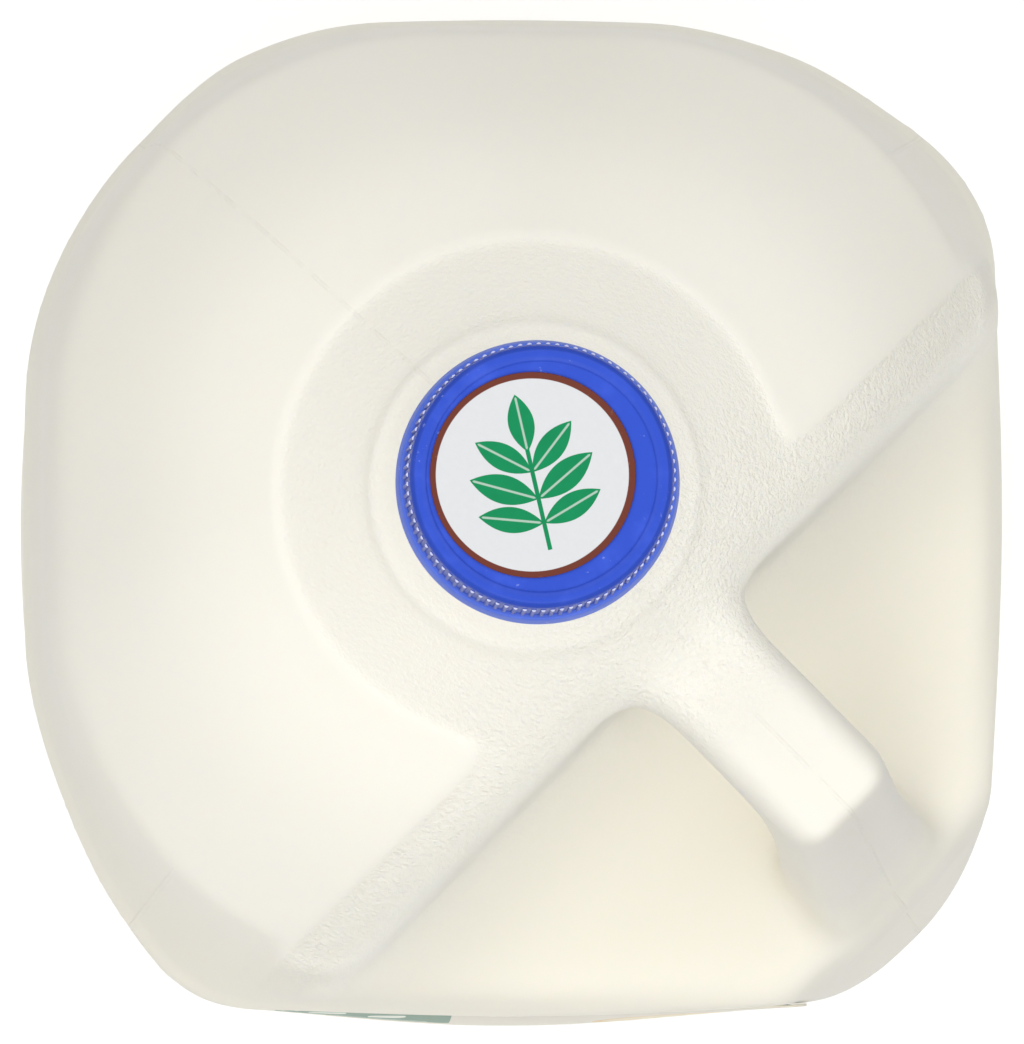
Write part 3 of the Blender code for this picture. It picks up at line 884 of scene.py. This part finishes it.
class JugLabelSettings(bpy.types.PropertyGroup):
    """Size and colours of the front label."""

    width: bpy.props.FloatProperty(
        name="Width", description="Width of the label", default=LABEL_WIDTH, unit="LENGTH")
    lower: bpy.props.FloatProperty(
        name="Lower edge", description="Height of the label's lower edge",
        default=LABEL_LOWER_Z, unit="LENGTH", precision=4)
    upper: bpy.props.FloatProperty(
        name="Upper edge", description="Height of the label's upper edge",
        default=LABEL_UPPER_Z, unit="LENGTH", precision=4)
    cream: bpy.props.FloatVectorProperty(
        name="Cream", description="Ground of the label",
        default=(0.74, 0.69, 0.57), subtype="COLOR", min=0.0, max=1.0)
    green: bpy.props.FloatVectorProperty(
        name="Green", description="Colour of the upper block",
        default=(0.035, 0.17, 0.075), subtype="COLOR", min=0.0, max=1.0)
    blue: bpy.props.FloatVectorProperty(
        name="Blue", description="Colour of the lower field",
        default=(0.06, 0.10, 0.42), subtype="COLOR", min=0.0, max=1.0)


class JUG_OT_body(bpy.types.Operator):
    """Builds the moulded body with its handle"""

    bl_idname = "jug.body"
    bl_label = "Build Body"

    def execute(self, context):
        settings = context.scene.jug_body
        tree = body_tree(milk_white_material(settings.colour))
        values = {label: getattr(settings, setting) for label, setting in BODY_INPUTS}
        body = grow("moulded_body", tree, values)
        if not body.data.polygons:
            raise RuntimeError("the body's grid gave no surface")
        settle(body, "jug")
        return {"FINISHED"}


class JUG_OT_cap(bpy.types.Operator):
    """Builds the ribbed screw cap"""

    bl_idname = "jug.cap"
    bl_label = "Build Cap"

    def execute(self, context):
        settings = context.scene.jug_cap
        blue = blue_material("cap blue polythene", settings.blue, 0.25, 0.30)
        profile = rounded_profile([(r * MM, h * MM, c * MM) for r, h, c in CAP_PROFILE])
        cap = mesh_object("ribbed_cap", lambda bm: lathe(bm, profile, CAP_STEPS), blue)
        smooth_by_angle(cap, 40)
        ribs = grow("cap_ribs", rib_tree(blue), {
            "Rib Count": settings.rib_count, "Rib Radius": settings.rib_radius,
            "Lower Radius": RIB_FOOT[0], "Upper Radius": RIB_TOP[0],
            "Lower Height": RIB_FOOT[1], "Upper Height": RIB_TOP[1],
        })
        smooth_by_angle(ribs, 60)
        absorb(cap, ribs)
        settle(cap, "cap")
        return {"FINISHED"}


class JUG_OT_band(bpy.types.Operator):
    """Builds the tamper band under the cap"""

    bl_idname = "jug.band"
    bl_label = "Build Tamper Band"

    def execute(self, context):
        settings = context.scene.jug_cap
        paint = blue_material("band blue polythene", settings.band_blue, 0.5, 0.36)
        profile = rounded_profile([(r * MM, h * MM, c * MM) for r, h, c in BAND_PROFILE])
        band = mesh_object("tamper_ring", lambda bm: lathe(bm, profile, CAP_STEPS), paint)
        smooth_by_angle(band, 40)
        settle(band, "tamper_band")
        return {"FINISHED"}


class JUG_OT_seal(bpy.types.Operator):
    """Builds the printed seal on the cap"""

    bl_idname = "jug.seal"
    bl_label = "Build Cap Seal"

    def execute(self, context):
        settings = context.scene.jug_cap
        ink = seal_material(settings.seal_rim, settings.seal_white, settings.seal_green)
        lower, upper = SEAL_SEAT_Z + 0.02 * MM, SEAL_SEAT_Z + PAPER
        edge = 0.08 * MM
        profile = [
            (0.0, upper), (SEAL_R * 0.5, upper), (SEAL_R - edge, upper),
            (SEAL_R, upper - edge), (SEAL_R, lower), (0.0, lower),
        ]
        seal = mesh_object("printed_seal", lambda bm: lathe(bm, profile, SEAL_STEPS), ink)
        for vertex in seal.data.vertices:
            vertex.co += Vector((*SEAL_SHIFT, 0.0))
        smooth_by_angle(seal, 40)
        settle(seal, "cap_seal")
        return {"FINISHED"}


class JUG_OT_label(bpy.types.Operator):
    """Lays the paper label on the front panel"""

    bl_idname = "jug.label"
    bl_label = "Build Label"

    def execute(self, context):
        settings = context.scene.jug_label
        body = bpy.data.objects.get("moulded_body")
        if body is None:
            raise RuntimeError("the label needs the body to lie on")
        tree = BVHTree.FromPolygons(
            [vertex.co for vertex in body.data.vertices],
            [tuple(face.vertices) for face in body.data.polygons],
        )
        outward = Vector((ROOT_HALF, -ROOT_HALF, 0))
        sideways = Vector((ROOT_HALF, ROOT_HALF, 0))
        columns, rows = 80, 56
        corner = 3.0 * MM

        def inset(height):
            """How much narrower the label is at this height, where its corners are rounded."""
            near = min(height - settings.lower, settings.upper - height)
            return corner - math.sqrt(corner**2 - max(corner - near, 0.0) ** 2)

        def sheet(bm):
            grid = []
            for row in range(rows + 1):
                height = settings.lower + (settings.upper - settings.lower) * row / rows
                half = settings.width / 2 - inset(height)
                line = []
                for column in range(columns + 1):
                    aside = half * (2 * column / columns - 1)
                    start = Vector((NECK_X, 0, height)) + sideways * aside + outward * BODY_HALF * 2
                    place, normal, index, distance = tree.ray_cast(start, -outward)
                    if place is None:
                        raise RuntimeError("the label reaches past the body")
                    line.append(bm.verts.new(place + outward * LABEL_GAP))
                grid.append(line)
            for lower, upper in zip(grid, grid[1:]):
                for column in range(columns):
                    bm.faces.new((lower[column], lower[column + 1], upper[column + 1], upper[column]))
            for face in bm.faces:
                face.smooth = True
            bmesh.ops.smooth_vert(
                bm, verts=[v for v in bm.verts if not v.is_boundary], factor=0.5,
                use_axis_x=True, use_axis_y=True, use_axis_z=False,
            )

        ink = label_material(settings.cream, settings.green, settings.blue)
        label = mesh_object("paper_label", sheet, ink)
        thicken = label.modifiers.new("Paper", "SOLIDIFY")
        thicken.thickness = PAPER
        thicken.offset = 1.0
        settle(label, "label_front")
        return {"FINISHED"}


def add_light(context, name, place, target, size, power, colour):
    data = bpy.data.lights.new(name, "AREA")
    data.shape = "SQUARE"
    data.size = size
    data.energy = power
    data.color = colour
    lamp = bpy.data.objects.new(name, data)
    lamp.location = place
    lamp.rotation_euler = (Vector(place) - Vector(target)).to_track_quat("Z", "Y").to_euler()
    context.scene.collection.objects.link(lamp)


class JUG_OT_stage(bpy.types.Operator):
    """Sets the floor, the room's light, the key light and the camera"""

    bl_idname = "jug.stage"
    bl_label = "Set Stage"

    def execute(self, context):
        scene = context.scene
        floor = mesh_object(
            "floor",
            lambda bm: bmesh.ops.create_grid(bm, x_segments=2, y_segments=2, size=4.0),
            floor_material(),
        )

        world = bpy.data.worlds.new("soft room")
        world.use_nodes = True
        world.node_tree.nodes.clear()
        graph = Graph(world.node_tree)
        towards = graph.node("ShaderNodeTexCoord", {}, {}, "Generated")
        height = graph.split(towards)[2]
        # A ring of soft light: dim at the horizon, and less again straight overhead.
        glow = graph.rise(height, 0.19, 0.59) * (1 - graph.rise(height, 0.70, 0.95) * 0.72)
        sky = graph.mix(glow, (0.04, 0.04, 0.04, 1.0), (2.03, 2.03, 2.03, 1.0))
        room = graph.node("ShaderNodeBackground", {}, {"Color": sky, "Strength": 1.0})
        graph.node("ShaderNodeOutputWorld", {}, {"Surface": room})
        scene.world = world
        target = (0.0, 0.0, 0.12)
        add_light(context, "key light", (0.98, -1.36, 1.8), target, 1.2, 9.0, (1.0, 0.99, 0.97))

        right = Vector((ROOT_HALF, ROOT_HALF, 0))
        up = Vector((-ROOT_HALF, ROOT_HALF, 0))
        neck = Vector((NECK_X, 0, 0))
        eye = neck - right * CAMERA_LEFT - up * CAMERA_DOWN + Vector((0, 0, CAMERA_HEIGHT))
        aim = neck - right * AIM_LEFT - up * AIM_DOWN + Vector((0, 0, AIM_HEIGHT))
        back = (eye - aim).normalized()
        side = up.cross(back).normalized()
        data = bpy.data.cameras.new("camera")
        data.sensor_fit = "HORIZONTAL"
        data.sensor_width = SENSOR_WIDTH
        data.lens = SENSOR_WIDTH * FOCAL_PIXELS / PICTURE_WIDTH
        data.clip_start = 0.1
        data.clip_end = 20.0
        camera = bpy.data.objects.new("camera", data)
        turned = Matrix((side, back.cross(side), back)).transposed().to_4x4()
        camera.matrix_world = Matrix.Translation(eye) @ turned
        scene.collection.objects.link(camera)
        scene.camera = camera
        scene.view_settings.view_transform = "Standard"
        return {"FINISHED"}


class JUG_PT_panel(bpy.types.Panel):
    """Sizes, colours and build steps of the milk jug"""

    bl_idname = "JUG_PT_panel"
    bl_label = "Milk Jug"
    bl_space_type = "VIEW_3D"
    bl_region_type = "UI"
    bl_category = "Milk Jug"

    def draw(self, context):
        for title, settings, operators in (
            ("Body", context.scene.jug_body, ("jug.body",)),
            ("Cap", context.scene.jug_cap, ("jug.cap", "jug.band", "jug.seal")),
            ("Label", context.scene.jug_label, ("jug.label",)),
        ):
            box = self.layout.box()
            box.label(text=title)
            for name in type(settings).__annotations__:
                box.prop(settings, name)
            for operator in operators:
                box.operator(operator)
        self.layout.operator("jug.stage")


SETTINGS = (
    ("jug_body", JugBodySettings),
    ("jug_cap", JugCapSettings),
    ("jug_label", JugLabelSettings),
)
OPERATORS = (JUG_OT_body, JUG_OT_cap, JUG_OT_band, JUG_OT_seal, JUG_OT_label, JUG_OT_stage)


def register():
    for name, settings in SETTINGS:
        bpy.utils.register_class(settings)
        setattr(bpy.types.Scene, name, bpy.props.PointerProperty(type=settings))
    for item in (*OPERATORS, JUG_PT_panel):
        bpy.utils.register_class(item)


def unregister():
    for item in (JUG_PT_panel, *reversed(OPERATORS)):
        bpy.utils.unregister_class(item)
    for name, settings in reversed(SETTINGS):
        delattr(bpy.types.Scene, name)
        bpy.utils.unregister_class(settings)


def main():
    register()
    for build in ("body", "cap", "band", "seal", "label", "stage"):
        getattr(bpy.ops.jug, build)()


if __name__ == "__main__":
    main()
